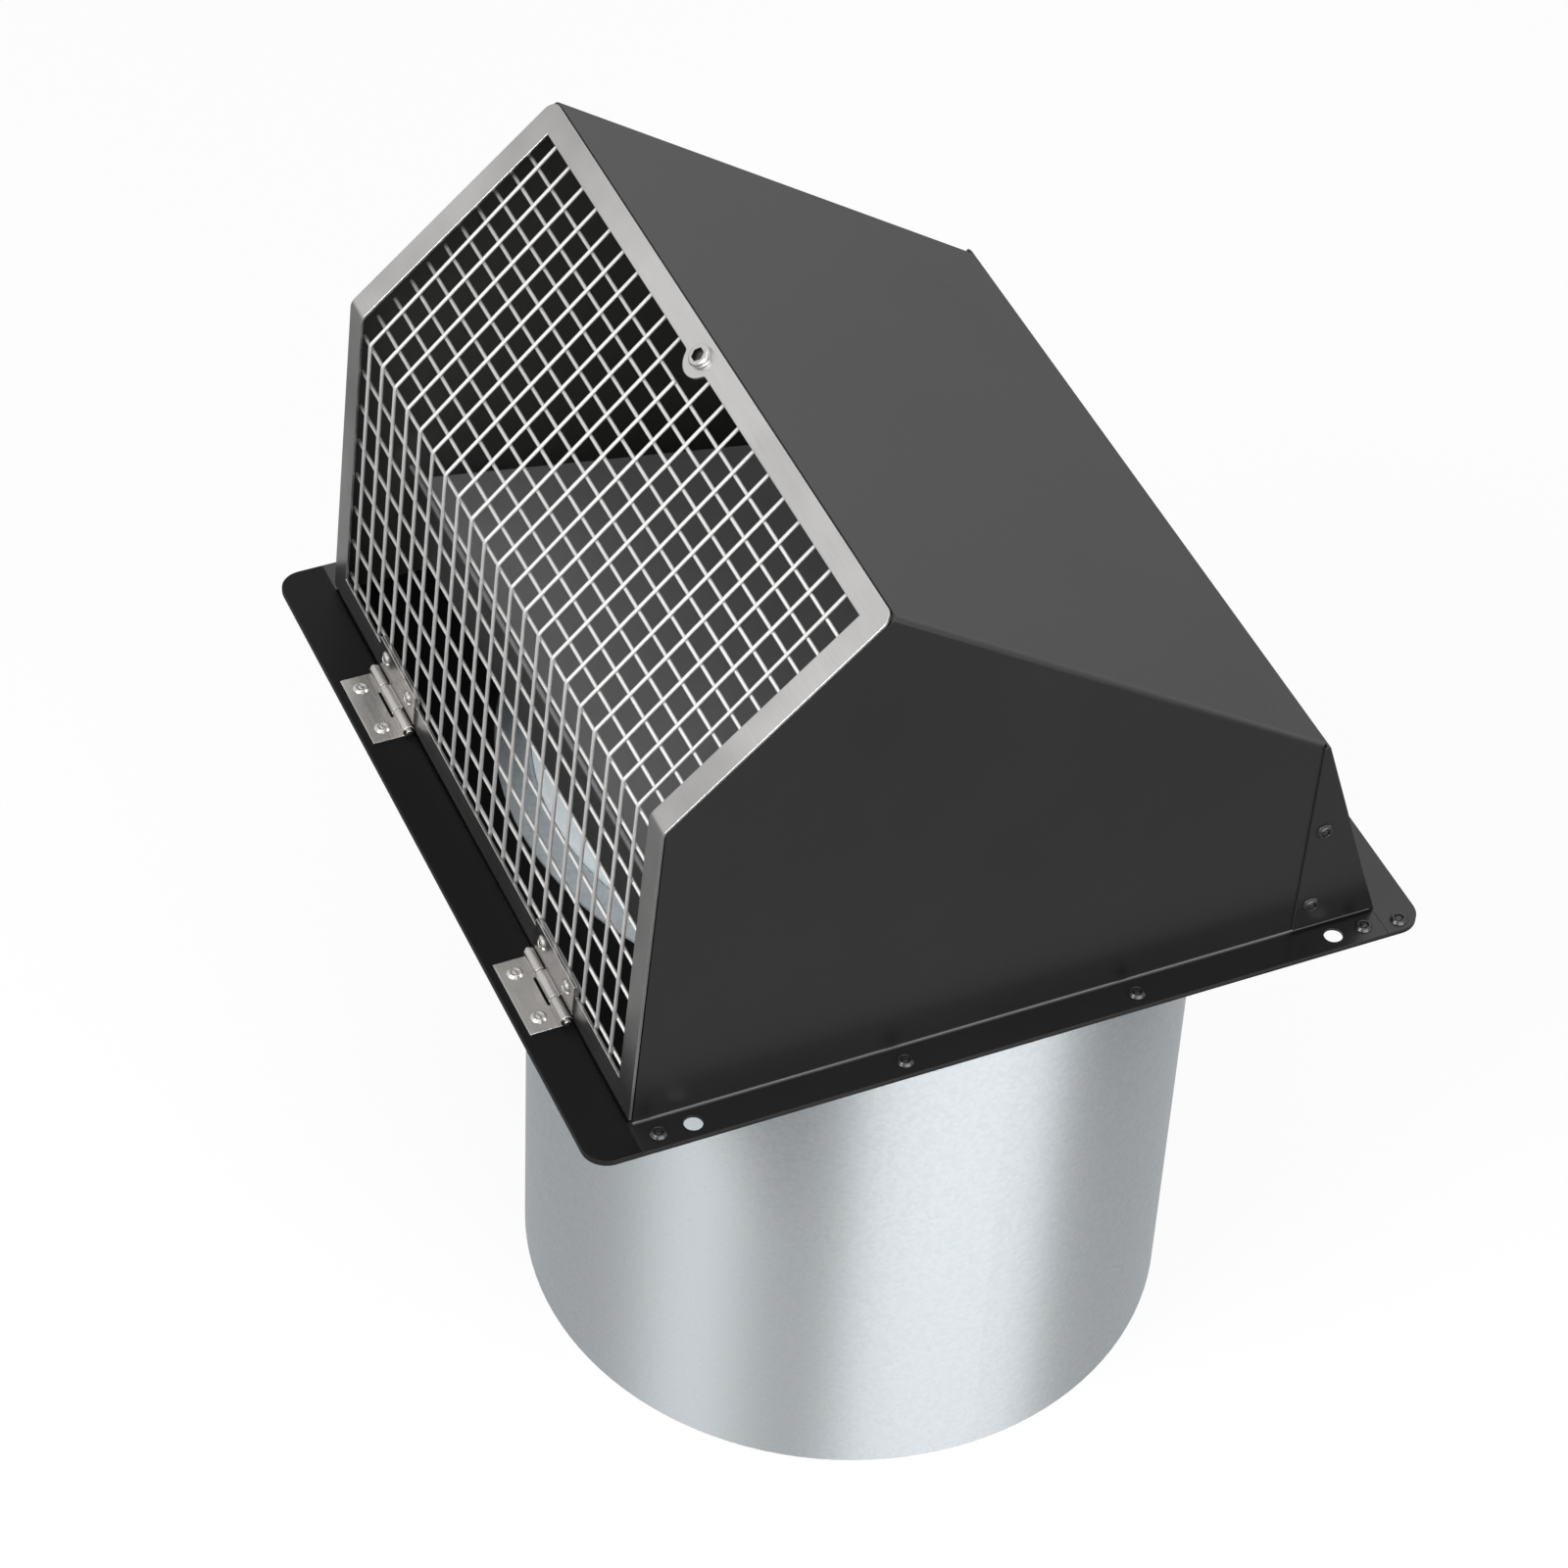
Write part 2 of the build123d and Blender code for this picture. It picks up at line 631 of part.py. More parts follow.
nodes = {
    "base_plate": make_base_plate(),
    "front_strip": make_front_strip(),
    "hood_shell": make_hood_shell(),
    "back_panel": make_back_panel(),
    "duct_tube": make_duct_tube(),
    "damper_collar": make_damper_collar(),
    "damper_flap": make_damper_flap(),
    "damper_pin": make_damper_pin(),
    "damper_bracket_left": make_damper_bracket(-1),
    "damper_bracket_right": make_damper_bracket(1),
    "screen_frame": make_screen_frame(),
    "screen_mesh": make_screen_mesh(),
    "screen_screw": make_screen_screw(),
    "hinge_fixed_leaf_left": make_fixed_leaf(-1),
    "hinge_fixed_leaf_right": make_fixed_leaf(1),
    "hinge_moving_leaf_left": make_moving_leaf(-1),
    "hinge_moving_leaf_right": make_moving_leaf(1),
    "hinge_pin_left": make_hinge_pin(-1),
    "hinge_pin_right": make_hinge_pin(1),
    "flange_rivets_left": make_side_rivets(-1),
    "flange_rivets_right": make_side_rivets(1),
    "back_flange_rivets": flat_rivets(back_rivet_spots, flange_top, rivet_head_r, rivet_head_h, rivet_shank_r),
    "tab_rivets_left": make_tab_rivets(-1),
    "tab_rivets_right": make_tab_rivets(1),
    "hinge_strip_rivets": make_strip_rivets(),
    "hinge_frame_rivets": make_frame_rivets(),
    "bracket_rivets": flat_rivets(bracket_spots, base_t + bracket_t, rivet_head_r, rivet_head_h, rivet_shank_r),
}

os.makedirs("parts", exist_ok=True)
for name, shape in nodes.items():
    export_step(shape, f"parts/{name}.step")
    print(name, round(shape.volume, 1))
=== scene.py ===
import bpy
import math
from mathutils import Matrix, Vector


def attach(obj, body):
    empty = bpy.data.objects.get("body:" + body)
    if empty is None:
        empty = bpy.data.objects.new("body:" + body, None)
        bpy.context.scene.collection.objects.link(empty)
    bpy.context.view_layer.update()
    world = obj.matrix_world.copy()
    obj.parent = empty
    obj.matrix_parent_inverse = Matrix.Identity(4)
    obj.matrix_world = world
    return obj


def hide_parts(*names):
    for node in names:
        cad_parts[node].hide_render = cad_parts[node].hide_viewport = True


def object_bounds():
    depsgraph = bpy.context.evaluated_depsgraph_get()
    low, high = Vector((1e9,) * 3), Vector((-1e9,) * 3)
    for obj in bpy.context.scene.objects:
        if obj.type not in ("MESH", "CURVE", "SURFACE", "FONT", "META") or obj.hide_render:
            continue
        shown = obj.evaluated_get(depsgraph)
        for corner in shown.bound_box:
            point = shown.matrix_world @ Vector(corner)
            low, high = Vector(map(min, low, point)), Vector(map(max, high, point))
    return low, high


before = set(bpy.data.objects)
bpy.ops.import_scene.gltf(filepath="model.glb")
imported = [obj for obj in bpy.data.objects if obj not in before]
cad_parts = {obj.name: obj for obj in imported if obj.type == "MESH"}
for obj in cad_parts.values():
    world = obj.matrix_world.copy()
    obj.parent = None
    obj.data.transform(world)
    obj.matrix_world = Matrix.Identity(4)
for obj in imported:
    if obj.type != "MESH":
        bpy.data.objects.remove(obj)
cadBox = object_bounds()
scene = bpy.context.scene
mm = 0.001
print("frame loaded:", len(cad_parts), "nodes")


# Camera at the photograph's angle

cameraValues = {
    "place": (0.73792, -0.37378, 0.78141),
    "turnDegrees": (46.0237, -2.2243, 66.5891),
    "lens": 118.78,
    "sensor": 36.0,
    "clipStart": 0.05,
}


def makeCamera(values):
    data = bpy.data.cameras.new("photoCamera")
    data.lens = values["lens"]
    data.sensor_width = values["sensor"]
    data.sensor_fit = "HORIZONTAL"
    data.clip_start = values["clipStart"]
    camera = bpy.data.objects.new("photoCamera", data)
    camera.location = values["place"]
    camera.rotation_euler = [math.radians(a) for a in values["turnDegrees"]]
    scene.collection.objects.link(camera)
    scene.camera = camera


makeCamera(cameraValues)
scene.view_settings.view_transform = "Standard"
print("camera made")


# Small helpers for node trees

def addNode(tree, kind, **inputs):
    node = tree.nodes.new(kind)
    for key, value in inputs.items():
        node.inputs[key].default_value = value
    return node


def join(tree, outSocket, inSocket):
    tree.links.new(outSocket, inSocket)


def mathNode(tree, operation, first, second=None):
    node = tree.nodes.new("ShaderNodeMath")
    node.operation = operation
    for index, value in enumerate((first, second)):
        if value is None:
            continue
        if isinstance(value, (int, float)):
            node.inputs[index].default_value = value
        else:
            join(tree, value, node.inputs[index])
    return node.outputs[0]


def mixColours(tree, factor, first, second):
    node = tree.nodes.new("ShaderNodeMix")
    node.data_type = "RGBA"
    factorSocket, firstSocket, secondSocket = node.inputs[0], node.inputs[6], node.inputs[7]  # colour sockets
    for socket, value in ((factorSocket, factor), (firstSocket, first), (secondSocket, second)):
        if isinstance(value, (int, float)):
            socket.default_value = value
        elif isinstance(value, (tuple, list)):
            socket.default_value = (*value[:3], 1.0)
        else:
            join(tree, value, socket)
    return node.outputs[2]


def rangeNode(tree, value, fromLow, fromHigh, toLow, toHigh):
    node = tree.nodes.new("ShaderNodeMapRange")
    join(tree, value, node.inputs["Value"])
    for key, number in zip(("From Min", "From Max", "To Min", "To Max"), (fromLow, fromHigh, toLow, toHigh)):
        node.inputs[key].default_value = number
    return node.outputs["Result"]


def newGroup(name, inputs, outputs):
    group = bpy.data.node_groups.new(name, "ShaderNodeTree")
    for label, value in inputs:
        kind = "NodeSocketVector" if isinstance(value, tuple) else "NodeSocketFloat"
        socket = group.interface.new_socket(label, in_out="INPUT", socket_type=kind)
        socket.default_value = value
    for label, kind in outputs:
        group.interface.new_socket(label, in_out="OUTPUT", socket_type=kind)
    return group, group.nodes.new("NodeGroupInput"), group.nodes.new("NodeGroupOutput")


# Effects shared by several finishes

def makeFineGrain():
    group, given, result = newGroup(
        "fineGrain",
        (("Scale", 900.0), ("Cloud Scale", 18.0)),
        (("Height", "NodeSocketFloat"), ("Cloud", "NodeSocketFloat")),
    )
    place = group.nodes.new("ShaderNodeTexCoord")
    fine = addNode(group, "ShaderNodeTexNoise", Detail=2.0, Roughness=0.55)
    join(group, place.outputs["Object"], fine.inputs["Vector"])
    join(group, given.outputs["Scale"], fine.inputs["Scale"])
    cloud = addNode(group, "ShaderNodeTexNoise", Detail=4.0, Roughness=0.6)
    join(group, place.outputs["Object"], cloud.inputs["Vector"])
    join(group, given.outputs["Cloud Scale"], cloud.inputs["Scale"])
    join(group, fine.outputs["Fac"], result.inputs["Height"])
    join(group, cloud.outputs["Fac"], result.inputs["Cloud"])
    return group


def makeEdgeMask():
    group, given, result = newGroup(
        "edgeMask",
        (("Radius", 0.0005), ("Gain", 6.0)),
        (("Mask", "NodeSocketFloat"), ("Normal", "NodeSocketVector")),
    )
    bevel = group.nodes.new("ShaderNodeBevel")
    bevel.samples = 4
    join(group, given.outputs["Radius"], bevel.inputs["Radius"])
    flat = group.nodes.new("ShaderNodeNewGeometry")
    dot = group.nodes.new("ShaderNodeVectorMath")
    dot.operation = "DOT_PRODUCT"
    join(group, bevel.outputs["Normal"], dot.inputs[0])
    join(group, flat.outputs["Normal"], dot.inputs[1])
    bent = mathNode(group, "SUBTRACT", 1.0, dot.outputs["Value"])
    gained = mathNode(group, "MULTIPLY", bent, given.outputs["Gain"])
    clamped = mathNode(group, "MINIMUM", gained, 1.0)
    join(group, clamped, result.inputs["Mask"])
    join(group, bevel.outputs["Normal"], result.inputs["Normal"])
    return group


def makeBrushLines():
    group, given, result = newGroup(
        "brushLines",
        (("Along X", 60.0), ("Across", 1500.0)),
        (("Streak", "NodeSocketFloat"),),
    )
    place = group.nodes.new("ShaderNodeTexCoord")
    split = group.nodes.new("ShaderNodeSeparateXYZ")
    join(group, place.outputs["Object"], split.inputs[0])
    along = mathNode(group, "MULTIPLY", split.outputs["X"], given.outputs["Along X"])
    acrossY = mathNode(group, "MULTIPLY", split.outputs["Y"], given.outputs["Across"])
    acrossZ = mathNode(group, "MULTIPLY", split.outputs["Z"], given.outputs["Across"])
    merged = group.nodes.new("ShaderNodeCombineXYZ")
    for socket, value in zip(merged.inputs, (along, acrossY, acrossZ)):
        join(group, value, socket)
    noise = addNode(group, "ShaderNodeTexNoise", Scale=1.0, Detail=3.0, Roughness=0.6)
    join(group, merged.outputs[0], noise.inputs["Vector"])
    join(group, noise.outputs["Fac"], result.inputs["Streak"])
    return group


def makeSpangle():
    group, given, result = newGroup(
        "spangle",
        (("Scale", 420.0), ("Fine Scale", 1500.0)),
        (("Tone", "NodeSocketFloat"), ("Height", "NodeSocketFloat")),
    )
    place = group.nodes.new("ShaderNodeTexCoord")
    cells = group.nodes.new("ShaderNodeTexVoronoi")
    cells.feature = "F1"
    join(group, place.outputs["Object"], cells.inputs["Vector"])
    join(group, given.outputs["Scale"], cells.inputs["Scale"])
    pick = group.nodes.new("ShaderNodeSeparateColor")
    join(group, cells.outputs["Color"], pick.inputs[0])
    fine = addNode(group, "ShaderNodeTexNoise", Detail=3.0, Roughness=0.7)
    join(group, place.outputs["Object"], fine.inputs["Vector"])
    join(group, given.outputs["Fine Scale"], fine.inputs["Scale"])
    tone = mathNode(group, "ADD", mathNode(group, "MULTIPLY", pick.outputs[0], 0.5),
                    mathNode(group, "MULTIPLY", fine.outputs["Fac"], 0.5))
    join(group, tone, result.inputs["Tone"])
    join(group, fine.outputs["Fac"], result.inputs["Height"])
    return group


def makeInnerFaces():
    # Faces that look towards the middle point, which are the insides of a hood round it; the paint gives them
    # a lighter colour, painted light for the light that reaches in
    group, given, result = newGroup(
        "innerFaces",
        (("Middle", (0.0, 0.0, 0.0)),),
        (("Mask", "NodeSocketFloat"),),
    )
    place = group.nodes.new("ShaderNodeTexCoord")
    spoke = group.nodes.new("ShaderNodeVectorMath")
    spoke.operation = "SUBTRACT"
    join(group, place.outputs["Object"], spoke.inputs[0])
    join(group, given.outputs["Middle"], spoke.inputs[1])
    dot = group.nodes.new("ShaderNodeVectorMath")
    dot.operation = "DOT_PRODUCT"
    join(group, spoke.outputs[0], dot.inputs[0])
    join(group, place.outputs["Normal"], dot.inputs[1])
    join(group, mathNode(group, "LESS_THAN", dot.outputs["Value"], 0.0), result.inputs["Mask"])
    return group


fineGrain = makeFineGrain()
edgeMask = makeEdgeMask()
brushLines = makeBrushLines()
spangle = makeSpangle()
innerFaces = makeInnerFaces()
print("shared effects made")


# What every finish uses

def useGroup(tree, group, **inputs):
    node = tree.nodes.new("ShaderNodeGroup")
    node.node_tree = group
    for key, value in inputs.items():
        node.inputs[key.replace("_", " ")].default_value = value
    return node


def newMaterial(name):
    material = bpy.data.materials.new(name)
    material.use_nodes = True
    tree = material.node_tree
    shader = next(n for n in tree.nodes if n.type == "BSDF_PRINCIPLED")
    return material, tree, shader


def setRoughness(tree, shader, value, span, limits):
    join(tree, rangeNode(tree, value, *span, *limits), shader.inputs["Roughness"])


def bumpFrom(tree, shader, height, values, normal=None):
    bump = addNode(tree, "ShaderNodeBump", Strength=values["bumpStrength"], Distance=values["bumpDepth"])
    join(tree, height, bump.inputs["Height"])
    if normal is not None:
        join(tree, normal, bump.inputs["Normal"])
    join(tree, bump.outputs["Normal"], shader.inputs["Normal"])


# Black powder coat on the folded sheets, and its plainer and glossier kinds

paintValues = {
    "colour": (0.0032, 0.0032, 0.0034),
    "cloudColour": (0.0056, 0.0056, 0.0060),
    "cloudScale": 14.0,
    "cloudSpan": (0.3, 0.7),
    "edgeColour": (0.013, 0.013, 0.014),
    "edgeRadius": 0.00006,
    "edgeGain": 2.5,
    # the hood's insides get a lighter colour, painted light standing in for light reaching into the hood
    "inside": (0.034, 0.033, 0.031),
    "middle": (0.0, -0.01, 0.0),
    "specular": 0.70,
    "roughness": (0.27, 0.34),
    "grainScale": 1400.0,
    "bumpStrength": 0.10,
    "bumpDepth": 0.00006,
}
flatPaintValues = dict(
    paintValues,
    colour=(0.0030, 0.0030, 0.0032),
    cloudColour=(0.0042, 0.0042, 0.0045),
    # on these plates the lighter edge colour is a painted highlight along the edges
    edgeColour=(0.10, 0.10, 0.105),
    edgeRadius=0.0005,
    inside=(0.006, 0.006, 0.0065),
    specular=0.12,
    roughness=(0.40, 0.48),
)
darkSheetValues = dict(
    paintValues,
    colour=(0.010, 0.010, 0.0105),
    cloudColour=(0.014, 0.014, 0.015),
    roughness=(0.36, 0.46),
    # the flap's upward faces get a light grey: painted light for the light falling on its top through the
    # screen, broken up by the cloud
    paintedTopLight=(0.20, 0.20, 0.205),
    paintedTopLightFacing=(0.6, 0.9),  # how far up a face looks, from none of the painted top light to all of it
    paintedTopLightSpan=(0.2, 0.8),
    paintedTopLightAmount=(0.75, 1.0),
)
rivetPaintValues = dict(
    paintValues,
    colour=(0.010, 0.010, 0.0105),
    cloudColour=(0.014, 0.014, 0.0145),
    edgeRadius=0.00004,
    inside=(0.010, 0.010, 0.0105),
    roughness=(0.18, 0.24),
)


# Mask of upward faces, broken up by the cloud, where the painted top light goes
def paintedTopLightOnTop(tree, cloud, values):
    place = tree.nodes.new("ShaderNodeTexCoord")
    split = tree.nodes.new("ShaderNodeSeparateXYZ")
    join(tree, place.outputs["Normal"], split.inputs[0])
    facing = rangeNode(tree, split.outputs["Z"], *values["paintedTopLightFacing"], 0.0, 1.0)
    amount = rangeNode(tree, cloud, *values["paintedTopLightSpan"], *values["paintedTopLightAmount"])
    return mathNode(tree, "MULTIPLY", facing, amount)


def makePaint(name, values):
    material, tree, shader = newMaterial(name)
    shader.inputs["Specular IOR Level"].default_value = values["specular"]
    grain = useGroup(tree, fineGrain, Scale=values["grainScale"], Cloud_Scale=values["cloudScale"])
    edge = useGroup(tree, edgeMask, Radius=values["edgeRadius"], Gain=values["edgeGain"])
    inner = useGroup(tree, innerFaces, Middle=values["middle"])
    cloud = grain.outputs["Cloud"]
    body = mixColours(tree, cloud, values["colour"], values["cloudColour"])
    # insides lighter: painted light standing in for the light inside the hood
    body = mixColours(tree, inner.outputs["Mask"], body, values["inside"])
    # upward faces lighter: painted light on the flap's top
    if "paintedTopLight" in values:
        body = mixColours(tree, paintedTopLightOnTop(tree, cloud, values), body, values["paintedTopLight"])
    # Lighter edges: wear on the black paint, and a painted highlight along the flat plates' edges
    edgeWearAndHighlight = mathNode(tree, "MULTIPLY", edge.outputs["Mask"], cloud)
    join(tree, mixColours(tree, edgeWearAndHighlight, body, values["edgeColour"]), shader.inputs["Base Color"])
    setRoughness(tree, shader, cloud, values["cloudSpan"], values["roughness"])
    bumpFrom(tree, shader, grain.outputs["Height"], values, edge.outputs["Normal"])
    return material


# Galvanised duct tube, and a duller, lighter copy for the collar and brackets, painted light for the light
# that reaches them inside the hood

zincValues = {
    "light": (0.64, 0.675, 0.70),
    "dark": (0.55, 0.585, 0.61),
    "metallic": 1.0,
    "roughness": (0.52, 0.46),  # from the dark flakes to the light ones
    "toneSpan": (0.2, 0.8),
    "spangleScale": 950.0,
    "fineScale": 2400.0,
    "anisotropy": 0.9,
    "anisotropyTurn": 0.25,  # stretches the gloss along the tube, into upright bands
    "bumpStrength": 0.12,
    "bumpDepth": 0.00005,
}
# much lighter than the tube: painted light standing in for light reaching the collar through the screen
paintedLightZincValues = dict(
    zincValues,
    light=(0.88, 0.93, 0.94),
    dark=(0.80, 0.86, 0.88),
    metallic=0.10,
    roughness=(0.50, 0.40),
    anisotropy=0.0,
)


def makeZinc(name, values):
    material, tree, shader = newMaterial(name)
    shader.inputs["Metallic"].default_value = values["metallic"]
    flakes = useGroup(tree, spangle, Scale=values["spangleScale"], Fine_Scale=values["fineScale"])
    tone = rangeNode(tree, flakes.outputs["Tone"], *values["toneSpan"], 0.0, 1.0)
    join(tree, mixColours(tree, tone, values["dark"], values["light"]), shader.inputs["Base Color"])
    setRoughness(tree, shader, flakes.outputs["Tone"], values["toneSpan"], values["roughness"])
    if values["anisotropy"]:
        shader.inputs["Anisotropic"].default_value = values["anisotropy"]
        shader.inputs["Anisotropic Rotation"].default_value = values["anisotropyTurn"]
        tangent = tree.nodes.new("ShaderNodeTangent")
        tangent.direction_type = "RADIAL"
        tangent.axis = "Z"
        join(tree, tangent.outputs[0], shader.inputs["Tangent"])
    bumpFrom(tree, shader, flakes.outputs["Height"], values)
    return material


# Satin stainless door frame, and the hinges' brighter steel

stainlessValues = {
    "light": (0.60, 0.59, 0.585),
    "dark": (0.51, 0.505, 0.50),
    "along": 60.0,
    "across": 1500.0,
    "streakSpan": (0.2, 0.8),
    "shade": (0.33, 0.325, 0.32),
    "shadeScale": 11.0,
    "shadeSpan": (0.40, 0.64),
    "shadeMost": 0.9,
    "roughness": (0.26, 0.34),
    "edgeColour": (0.76, 0.75, 0.74),
    "edgeRadius": 0.0003,
    "edgeGain": 3.0,
    "bumpStrength": 0.05,
    "bumpDepth": 0.00003,
}
hingeSteelValues = dict(
    stainlessValues,
    light=(0.70, 0.675, 0.65),
    dark=(0.54, 0.52, 0.50),
    across=2600.0,
    roughness=(0.20, 0.30),
)


def makeStainless(name, values):
    material, tree, shader = newMaterial(name)
    shader.inputs["Metallic"].default_value = 1.0
    lines = useGroup(tree, brushLines, Along_X=values["along"], Across=values["across"])
    edge = useGroup(tree, edgeMask, Radius=values["edgeRadius"], Gain=values["edgeGain"])
    grain = useGroup(tree, fineGrain, Cloud_Scale=values["shadeScale"])
    streak = lines.outputs["Streak"]
    shade = rangeNode(tree, grain.outputs["Cloud"], *values["shadeSpan"], 0.0, values["shadeMost"])
    body = mixColours(tree, streak, values["dark"], values["light"])
    body = mixColours(tree, shade, body, values["shade"])
    # lighter colour along the edges, a painted highlight
    join(tree, mixColours(tree, edge.outputs["Mask"], body, values["edgeColour"]),
         shader.inputs["Base Color"])
    setRoughness(tree, shader, streak, values["streakSpan"], values["roughness"])
    bumpFrom(tree, shader, streak, values, edge.outputs["Normal"])
    return material


# Bright drawn wire, the turned steel of the leaf rivets and the screw, and a dark copy for the screw's
# socket, painted shade in its recess

wireValues = {
    "light": (0.68, 0.675, 0.665),
    "dark": (0.56, 0.555, 0.545),
    "metallic": 0.65,
    "roughness": (0.50, 0.62),
    "grainScale": 2500.0,
    "cloudScale": 120.0,
    "cloudSpan": (0.3, 0.7),
    "bumpStrength": 0.10,
    "bumpDepth": 0.00004,
}
turnedSteelValues = dict(
    wireValues,
    light=(0.62, 0.605, 0.59),
    dark=(0.50, 0.49, 0.475),
    metallic=1.0,
    roughness=(0.20, 0.30),
    grainScale=3500.0,
)
# dark copy for the screw's socket faces, painted shade in the recess
socketPaintedShadeValues = dict(
    turnedSteelValues,
    light=(0.10, 0.098, 0.095),
    dark=(0.06, 0.058, 0.056),
    roughness=(0.24, 0.34),
)


def makeBright(name, values):
    material, tree, shader = newMaterial(name)
    shader.inputs["Metallic"].default_value = values["metallic"]
    grain = useGroup(tree, fineGrain, Scale=values["grainScale"], Cloud_Scale=values["cloudScale"])
    cloud = grain.outputs["Cloud"]
    join(tree, mixColours(tree, cloud, values["dark"], values["light"]), shader.inputs["Base Color"])
    setRoughness(tree, shader, cloud, values["cloudSpan"], values["roughness"])
    bumpFrom(tree, shader, grain.outputs["Height"], values)
    return material


blackPaint = makePaint("blackPaint", paintValues)
flatPaint = makePaint("flatPaint", flatPaintValues)
darkSheet = makePaint("darkSheet", darkSheetValues)
rivetPaint = makePaint("rivetPaint", rivetPaintValues)
zincTube = makeZinc("zincTube", zincValues)
paintedLightZinc = makeZinc("paintedLightZinc", paintedLightZincValues)
stainless = makeStainless("stainless", stainlessValues)
hingeSteel = makeStainless("hingeSteel", hingeSteelValues)
brightWire = makeBright("brightWire", wireValues)
turnedSteel = makeBright("turnedSteel", turnedSteelValues)
socketPaintedShade = makeBright("socketPaintedShade", socketPaintedShadeValues)
print("finishes made")


# Finish of each solid

nodeFinishes = {
    "base_plate": flatPaint,
    "front_strip": flatPaint,
    "hood_shell": blackPaint,
    "back_panel": blackPaint,
    "duct_tube": zincTube,
    "damper_collar": paintedLightZinc,
    "damper_flap": darkSheet,
    "damper_pin": hingeSteel,
    "damper_bracket_left": paintedLightZinc,
    "damper_bracket_right": paintedLightZinc,
    "screen_frame": stainless,
    "screen_mesh": brightWire,
    "screen_screw": hingeSteel,
    "hinge_fixed_leaf_left": hingeSteel,
    "hinge_fixed_leaf_right": hingeSteel,
    "hinge_moving_leaf_left": hingeSteel,
    "hinge_moving_leaf_right": hingeSteel,
    "hinge_pin_left": hingeSteel,
    "hinge_pin_right": hingeSteel,
    "flange_rivets_left": rivetPaint,
    "flange_rivets_right": rivetPaint,
    "back_flange_rivets": rivetPaint,
    "tab_rivets_left": rivetPaint,
    "tab_rivets_right": rivetPaint,
    "hinge_strip_rivets": hingeSteel,
    "hinge_frame_rivets": hingeSteel,
    "bracket_rivets": rivetPaint,
}
for name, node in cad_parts.items():
    for materialSlot in node.material_slots:
        materialSlot.material = nodeFinishes[name]
print("finishes placed")


# Mesh building

sharpDegrees = 40
axisRadius = 0.02 * mm  # the smallest ring, which closes a turned shape at its axis


def turnsOf(sides):
    return [2 * math.pi * j / sides for j in range(sides)]


def makePiece(name, store, material, body, replaced):
    mesh = bpy.data.meshes.new(name)
    mesh.from_pydata(store["verts"], [], store["faces"])
    mesh.validate()
    mesh.materials.append(material)
    mesh.shade_smooth()
    mesh.set_sharp_from_angle(angle=math.radians(sharpDegrees))
    piece = bpy.data.objects.new(name, mesh)
    scene.collection.objects.link(piece)
    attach(piece, body)
    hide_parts(*replaced)
    print("piece made:", name, len(mesh.polygons), "faces")
    return piece


def newStore():
    return {"verts": [], "faces": []}


def addRings(store, rings):
    sides = len(rings[0])
    start = len(store["verts"])
    for ring in rings:
        store["verts"].extend(ring)
    for i in range(len(rings) - 1):
        for j in range(sides):
            k = (j + 1) % sides
            a, b = start + i * sides, start + (i + 1) * sides
            store["faces"].append((a + j, a + k, b + k, b + j))
    last = start + (len(rings) - 1) * sides
    store["faces"].append(tuple(start + j for j in reversed(range(sides))))
    store["faces"].append(tuple(last + j for j in range(sides)))


def addPlaced(store, rings, matrix):
    addRings(store, [[matrix @ point for point in ring] for ring in rings])


def levelRing(radius, height, sides):
    return [Vector((radius * math.cos(t), radius * math.sin(t), height)) for t in turnsOf(sides)]


def hexRing(flat, height, sides):
    sixth, ring = math.pi / 3, []
    for t in turnsOf(sides):
        reach = flat / math.cos(t % sixth - sixth / 2)
        ring.append(Vector((reach * math.cos(t), reach * math.sin(t), height)))
    return ring


def ringAcross(centre, first, second, radius, sides):
    return [centre + (first * math.cos(t) + second * math.sin(t)) * radius for t in turnsOf(sides)]


def addTube(store, points, values):
    # A round bar through the points, with its ends rounded off over endRound
    radius, sides, endRound = values["radius"], values["sides"], values["endRound"]
    endRadius = radius * values["endShare"]
    rings = []
    last = len(points) - 1
    for i, point in enumerate(points):
        before, after = points[max(i - 1, 0)], points[min(i + 1, last)]
        along = (after - before).normalized()
        sideways = Vector((1, 0, 0)) if abs(along.x) < 0.9 else Vector((0, 0, 1))
        first = along.cross(sideways).normalized()
        second = along.cross(first)
        if i == 0:
            rings.append(ringAcross(point, first, second, endRadius, sides))
            rings.append(ringAcross(point + along * endRound, first, second, radius, sides))
        elif i == last:
            rings.append(ringAcross(point - along * endRound, first, second, radius, sides))
            rings.append(ringAcross(point, first, second, endRadius, sides))
        else:
            rings.append(ringAcross(point, first, second, radius, sides))
    addRings(store, rings)


# The door's side view: foot, bend and top of its front face, behind the duct's axis

doorValues = {
    "foot": Vector((-93.7, 1.2)) * mm,
    "bend": Vector((-88.2, 81.7)) * mm,
    "top": Vector((-41.6, 123.5)) * mm,
}


def inwardOf(start, end):
    along = (end - start).normalized()
    return Vector((along.y, -along.x))


lowAlong = (doorValues["bend"] - doorValues["foot"]).normalized()
highAlong = (doorValues["top"] - doorValues["bend"]).normalized()
lowInward = inwardOf(doorValues["foot"], doorValues["bend"])
highInward = inwardOf(doorValues["bend"], doorValues["top"])


def doorPoint(depth, up=None, down=None):
    if up is not None:
        return doorValues["foot"] + lowInward * depth + lowAlong * up
    return doorValues["top"] + highInward * depth - highAlong * down


def spatial(x, sidePoint):
    return Vector((x, sidePoint.x, sidePoint.y))


# Welded wires of the screen; rows are start, step and count, the high ones from the wires' top ends

